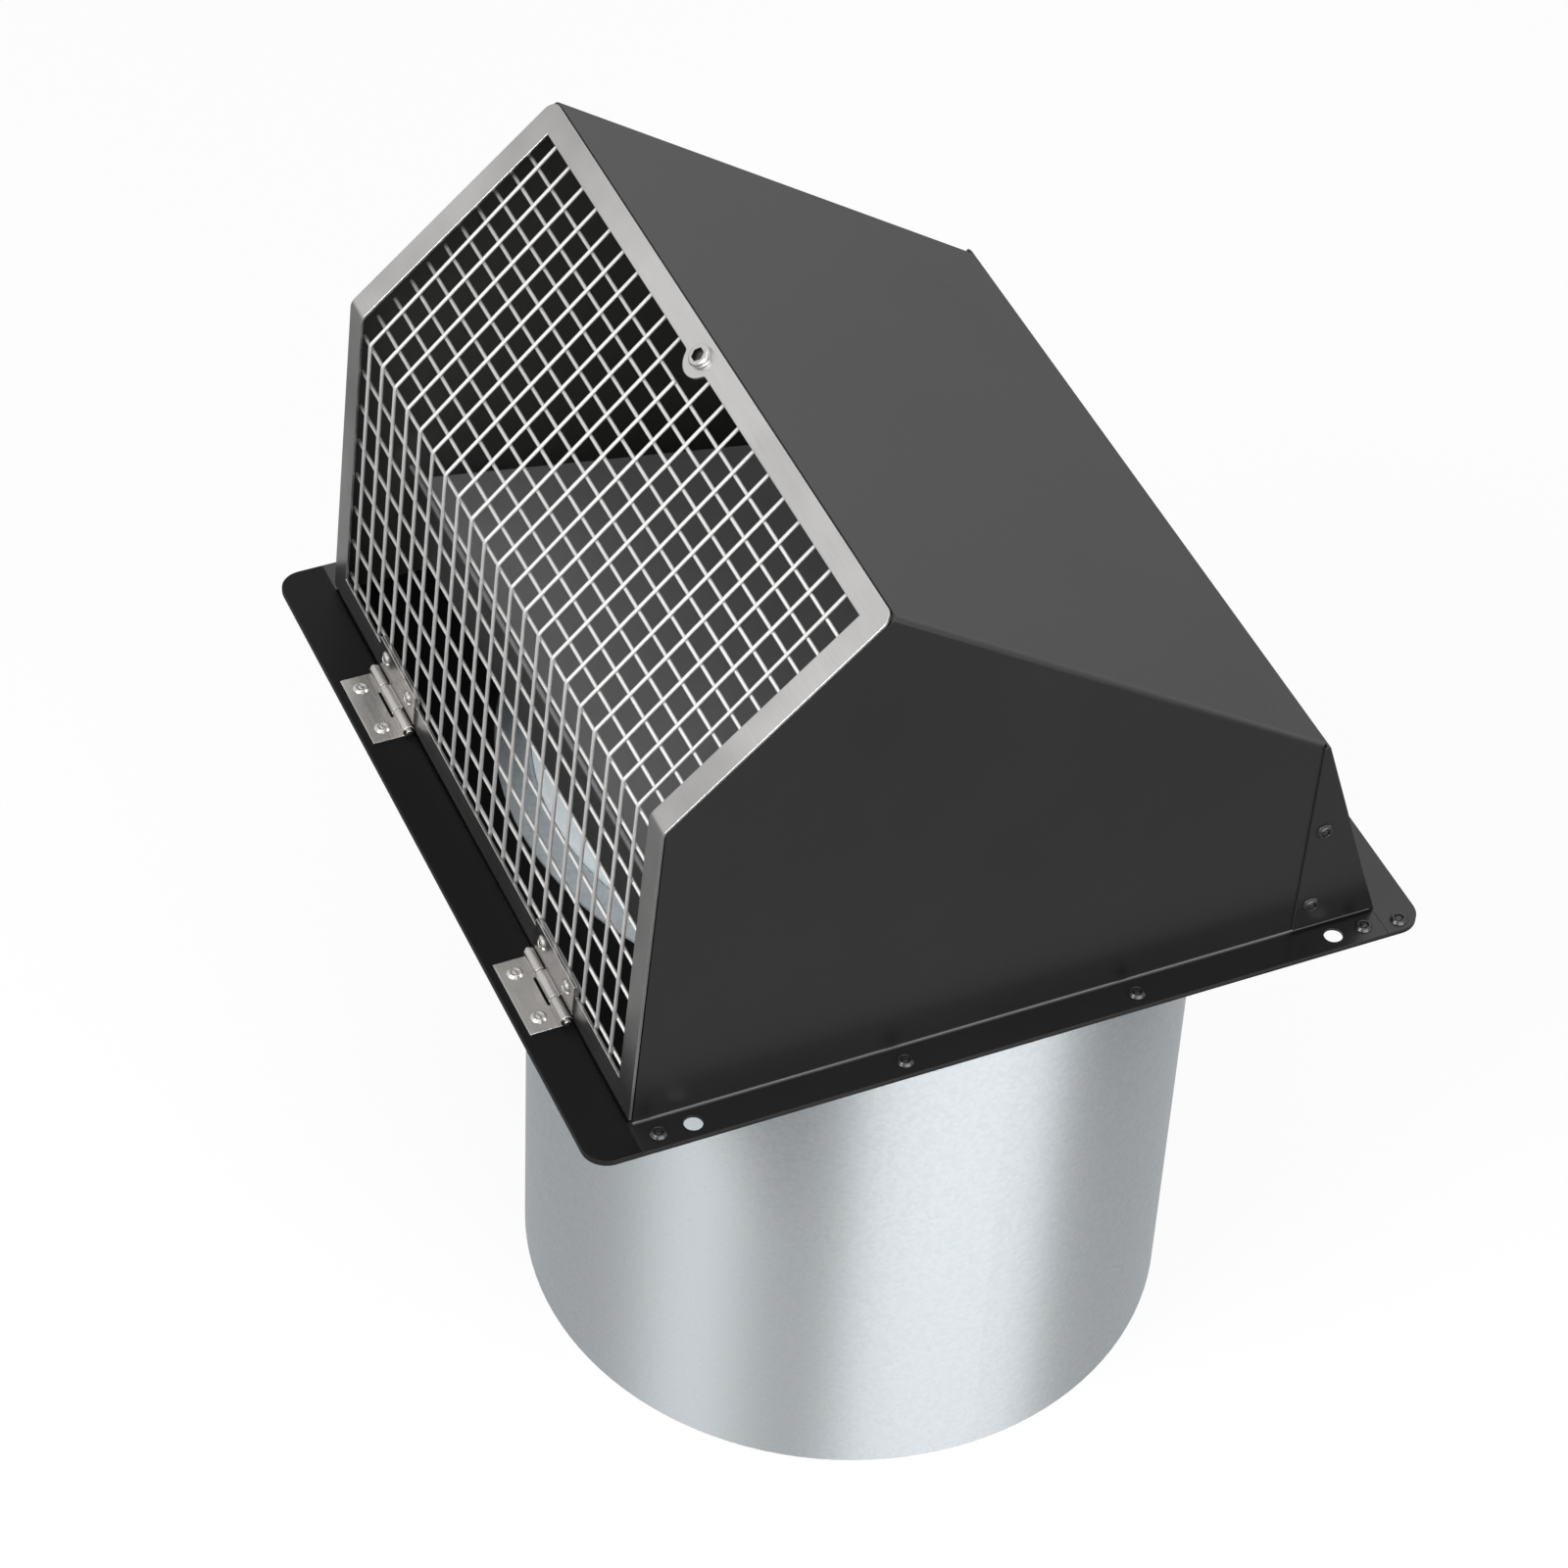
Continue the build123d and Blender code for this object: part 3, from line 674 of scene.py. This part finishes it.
wirePiece = {
    "radius": 0.42 * mm,
    "sides": 12,
    "pitch": 7.56 * mm,
    "count": 21,
    "shift": -1.8 * mm,
    "depth": 1.02 * mm,
    "rowDepth": 1.86 * mm,
    "foot": 5.2 * mm,
    "foldUp": 76.3 * mm,
    "topEnd": 3.1 * mm,
    "shortTopEnd": 11.58 * mm,
    "shortHalf": 4.04 * mm,
    "bendRadius": 1.6 * mm,
    "rowHalf": 83.2 * mm,
    "lowRows": (7.6 * mm, 9.56 * mm, 8),
    "highRows": (8.9 * mm, 5.38 * mm, 10),
    "endRound": 0.2 * mm,
    "endShare": 0.6,
}


def bentLine(foot, corner, top, radius, steps=7):
    first = (foot - corner).normalized()
    second = (top - corner).normalized()
    half = math.acos(max(-1.0, min(1.0, first.dot(second)))) / 2
    reach = radius / math.tan(half)
    centre = corner + (first + second).normalized() * (radius / math.sin(half))
    start, end = corner + first * reach - centre, corner + second * reach - centre
    whole = start.angle(end)
    points = [foot]
    for i in range(steps + 1):
        t = i / steps
        spoke = (start * math.sin((1 - t) * whole) + end * math.sin(t * whole)) / math.sin(whole)
        points.append(centre + spoke)
    return points + [top]


def makeWires(values):
    store = newStore()
    fold = doorPoint(values["depth"], up=values["foldUp"])
    tip = doorPoint(values["depth"], down=values["topEnd"])
    slope = (tip - fold).normalized()
    for i in range(values["count"]):
        x = values["shift"] + (i - (values["count"] - 1) / 2) * values["pitch"]
        cut = values["shortTopEnd"] - values["topEnd"] if abs(x) < values["shortHalf"] else 0.0
        line = [doorPoint(values["depth"], up=values["foot"]), fold, tip - slope * cut]
        foot, corner, top = [spatial(x, p) for p in line]
        addTube(store, bentLine(foot, corner, top, values["bendRadius"]), values)
    first, step, count = values["lowRows"]
    rows = [doorPoint(values["rowDepth"], up=first + step * i) for i in range(count)]
    first, step, count = values["highRows"]
    behind = tip + inwardOf(fold, tip) * (values["rowDepth"] - values["depth"])
    rows += [behind - slope * (first + step * i) for i in range(count)]
    for row in rows:
        addTube(store, [spatial(-values["rowHalf"], row), spatial(values["rowHalf"], row)], values)
    makePiece("screenWires", store, brightWire, "screen_door", ["screen_mesh"])


makeWires(wirePiece)


# Blind rivets with a rolled head round a sunk mandrel; shares are of the head's or the bore's radius

rivetPiece = {
    "head": 1.9 * mm,
    "height": 0.8 * mm,
    "shank": 1.2 * mm,
    "bore": 1.05 * mm,
    "sink": 0.50 * mm,
    "tip": 0.30 * mm,
    "chamfer": 0.15 * mm,
    "brimShares": (0.97, 1.0, 0.985),
    "brimHeight": 0.12 * mm,
    "brimTop": 0.8,
    "domeFoot": 0.30,  # of the head's height
    "domeShares": (0.95, 1.16),
    "domeSteps": 7,
    "lipShares": (1.04, 1.0, 0.97),
    "lipDrops": (0.04 * mm, 0.12 * mm),
    "tipShares": (0.72, 0.62, 0.42),
    "tipShoulder": 0.7,
    "sides": 32,
    "apart": 8.0 * mm,
}
leafRivet = dict(
    rivetPiece,
    head=1.8 * mm,
    height=0.6 * mm,
    shank=1.1 * mm,
    bore=0.95 * mm,
    sink=0.32 * mm,
    tip=0.26 * mm,
)


def clusters(node, apart):
    found = []
    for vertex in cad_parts[node].data.vertices:
        for group in found:
            if (group[0] - vertex.co).length < apart:
                group.append(vertex.co.copy())
                break
        else:
            found.append([vertex.co.copy()])
    return found


def rivetProfile(values, tail):
    head, height, shank, bore = values["head"], values["height"], values["shank"], values["bore"]
    chamfer, tip, domeFoot = values["chamfer"], values["tip"], values["domeFoot"] * height
    floor = height - values["sink"]
    brimFoot, brimSide, brimTop = [head * share for share in values["brimShares"]]
    points = [(axisRadius, tail), (shank - chamfer, tail), (shank, tail + chamfer), (shank, 0.0)]
    points += [(brimFoot, 0.0), (brimSide, values["brimHeight"]), (brimTop, domeFoot * values["brimTop"])]
    outer, inner = head * values["domeShares"][0], bore * values["domeShares"][1]
    for i in range(values["domeSteps"] + 1):
        t = i / values["domeSteps"]
        rise = (height - domeFoot) * math.sin(t * math.pi / 2)
        points.append((outer + (inner - outer) * t, domeFoot + rise))
    lipTop, lipSide, lipFoot = [bore * share for share in values["lipShares"]]
    firstDrop, secondDrop = values["lipDrops"]
    points += [(lipTop, height - firstDrop), (lipSide, height - secondDrop), (lipFoot, floor)]
    tipFoot, tipSide, tipTop = [bore * share for share in values["tipShares"]]
    points += [(tipFoot, floor), (tipSide, floor + tip * values["tipShoulder"])]
    return points + [(tipTop, floor + tip), (axisRadius, floor + tip)]


def middle(points, axis):
    spans = [axis.dot(p) for p in points]
    return (min(spans) + max(spans)) / 2


def fittedTo(points, out):
    # The turn that points up along out, the points' own axis, and their two ends along it
    turn = out.to_track_quat("Z", "Y").to_matrix()
    first, second = turn.col[0], turn.col[1]
    spans = [out.dot(p) for p in points]
    onAxis = first * middle(points, first) + second * middle(points, second)
    return turn.to_4x4(), onAxis, min(spans), max(spans)


def makeRivets(name, node, values, direction, material, body, slotName):
    store = newStore()
    out = Vector(direction).normalized()
    for points in clusters(node, values["apart"]):
        turn, onAxis, low, high = fittedTo(points, out)
        seat = high - values["height"]
        profile = rivetProfile(values, low - seat)
        rings = [levelRing(radius, height, values["sides"]) for radius, height in profile]
        addPlaced(store, rings, Matrix.Translation(onAxis + out * seat) @ turn)
    makePiece(name, store, material, body, [node])


rivetJobs = (
    ("flangeRivetsLeft", "flange_rivets_left", rivetPiece, (0, 0, 1), rivetPaint, "hood", "rivet"),
    ("flangeRivetsRight", "flange_rivets_right", rivetPiece, (0, 0, 1), rivetPaint, "hood", "rivet"),
    ("backRivets", "back_flange_rivets", rivetPiece, (0, 0, 1), rivetPaint, "hood", "rivet"),
    ("tabRivetsLeft", "tab_rivets_left", rivetPiece, (-1, 0, 0), rivetPaint, "hood", "rivet"),
    ("tabRivetsRight", "tab_rivets_right", rivetPiece, (1, 0, 0), rivetPaint, "hood", "rivet"),
    ("stripRivets", "hinge_strip_rivets", leafRivet, (0, 0, 1), turnedSteel, "hood", "stainless"),
    ("frameRivets", "hinge_frame_rivets", leafRivet, (0, -lowInward.x, -lowInward.y), turnedSteel,
     "screen_door", "stainless"),
)
for job in rivetJobs:
    makeRivets(*job)


# Socket screw in the lug at the door's top

screwPiece = {
    "headRadius": 2.6 * mm,
    "headHeight": 1.3 * mm,
    "shank": 1.45 * mm,
    "shankEnd": 0.85,
    "chamfer": 0.2 * mm,
    "seatShare": 0.98,
    "seatRise": 0.1 * mm,
    "edge": 0.55 * mm,
    "edgeSteps": 6,
    "socket": 1.30 * mm,
    "socketDepth": 0.8 * mm,
    "mouthShare": 1.08,
    "mouthDepth": 0.08 * mm,
    "floorShare": 0.3,
    "floorDip": 0.1 * mm,
    "sides": 48,
}


def makeScrew(values):
    store = newStore()
    points = [v.co.copy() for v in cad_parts["screen_screw"].data.vertices]
    out = Vector((0, -highInward.x, -highInward.y)).normalized()
    turn, onAxis, low, high = fittedTo(points, out)
    sides, shank, radius, edge = values["sides"], values["shank"], values["headRadius"], values["edge"]
    top = high - low
    seat = top - values["headHeight"]
    profile = [(axisRadius, 0.0), (shank * values["shankEnd"], 0.0), (shank, values["chamfer"]),
               (shank, seat), (radius * values["seatShare"], seat), (radius, seat + values["seatRise"])]
    for i in range(values["edgeSteps"] + 1):
        angle = i / values["edgeSteps"] * math.pi / 2
        profile.append((radius - edge + edge * math.cos(angle), top - edge + edge * math.sin(angle)))
    rings = [levelRing(ringRadius, height, sides) for ringRadius, height in profile]
    socketStart = sides * len(rings)
    socket, floor = values["socket"], top - values["socketDepth"]
    rings += [hexRing(socket * values["mouthShare"], top, sides),
              hexRing(socket, top - values["mouthDepth"], sides),
              hexRing(socket, floor, sides),
              hexRing(socket * values["floorShare"], floor - values["floorDip"], sides)]
    addPlaced(store, rings, Matrix.Translation(onAxis + out * low) @ turn)
    piece = makePiece("screenScrew", store, turnedSteel, "screen_door", ["screen_screw"])
    # the socket's faces get the dark copy, painted shade in the recess
    piece.data.materials.append(socketPaintedShade)
    for face in piece.data.polygons:
        if min(face.vertices) >= socketStart:
            face.material_index = 1


makeScrew(screwPiece)


# Floor, surround and lamps

stageValues = {
    "floorHalf": 14.0,
    "floorColour": (0.80, 0.80, 0.80),
    "floorRoughness": 0.9,
    "cameraWhite": 0.86,
    "glossyWhite": 0.34,
    "worldDiffuse": 0.70,
    "lamps": (
        ("keyRight", (1.15, 0.12, 0.14), 1.3, 19.0),
        ("frontHigh", (0.32, -1.0, 0.80), 0.6, 9.0),
        ("overhead", (0.2, 0.1, 2.0), 1.4, 6.0),
    ),
}


def makeFloor(values):
    half, level = values["floorHalf"], cadBox[0].z
    mesh = bpy.data.meshes.new("floor")
    corners = [(-half, -half, level), (half, -half, level), (half, half, level), (-half, half, level)]
    mesh.from_pydata(corners, [], [(0, 1, 2, 3)])
    floor = bpy.data.objects.new("floor", mesh)
    scene.collection.objects.link(floor)
    material, tree, shader = newMaterial("paleFloor")
    shader.inputs["Base Color"].default_value = (*values["floorColour"], 1.0)
    shader.inputs["Roughness"].default_value = values["floorRoughness"]
    shader.inputs["Specular IOR Level"].default_value = 0.0
    path = tree.nodes.new("ShaderNodeLightPath")
    white = tree.nodes.new("ShaderNodeEmission")
    glossy = path.outputs["Is Glossy Ray"]
    join(tree, rangeNode(tree, glossy, 0.0, 1.0, 1.0, values["glossyWhite"]), white.inputs["Strength"])
    seen = mathNode(tree, "MAXIMUM", path.outputs["Is Camera Ray"], path.outputs["Is Transmission Ray"])
    seen = mathNode(tree, "MULTIPLY", seen, values["cameraWhite"])
    mix = tree.nodes.new("ShaderNodeMixShader")
    join(tree, mathNode(tree, "MAXIMUM", seen, glossy), mix.inputs[0])
    join(tree, shader.outputs[0], mix.inputs[1])
    join(tree, white.outputs[0], mix.inputs[2])
    output = next(n for n in tree.nodes if n.type == "OUTPUT_MATERIAL")
    join(tree, mix.outputs[0], output.inputs["Surface"])
    mesh.materials.append(material)


def makeSurround(values):
    world = bpy.data.worlds.new("paleStudio")
    scene.world = world
    world.use_nodes = True
    tree = world.node_tree
    background = next(n for n in tree.nodes if n.type == "BACKGROUND")
    background.inputs["Color"].default_value = (1.0, 1.0, 1.0, 1.0)
    path = tree.nodes.new("ShaderNodeLightPath")
    seen = mathNode(tree, "MAXIMUM", path.outputs["Is Camera Ray"], path.outputs["Is Transmission Ray"])
    seen = mathNode(tree, "MAXIMUM", seen, path.outputs["Is Glossy Ray"])
    strength = rangeNode(tree, seen, 0.0, 1.0, values["worldDiffuse"], 1.0)
    join(tree, strength, background.inputs["Strength"])


def makeLamps(values):
    for name, place, size, power in values["lamps"]:
        data = bpy.data.lights.new(name, "AREA")
        data.size = size
        data.energy = power
        lamp = bpy.data.objects.new(name, data)
        lamp.location = place
        lamp.rotation_euler = (-Vector(place)).to_track_quat("-Z", "Y").to_euler()
        lamp.visible_camera = False
        scene.collection.objects.link(lamp)


makeFloor(stageValues)
makeSurround(stageValues)
makeLamps(stageValues)
print("stage made")
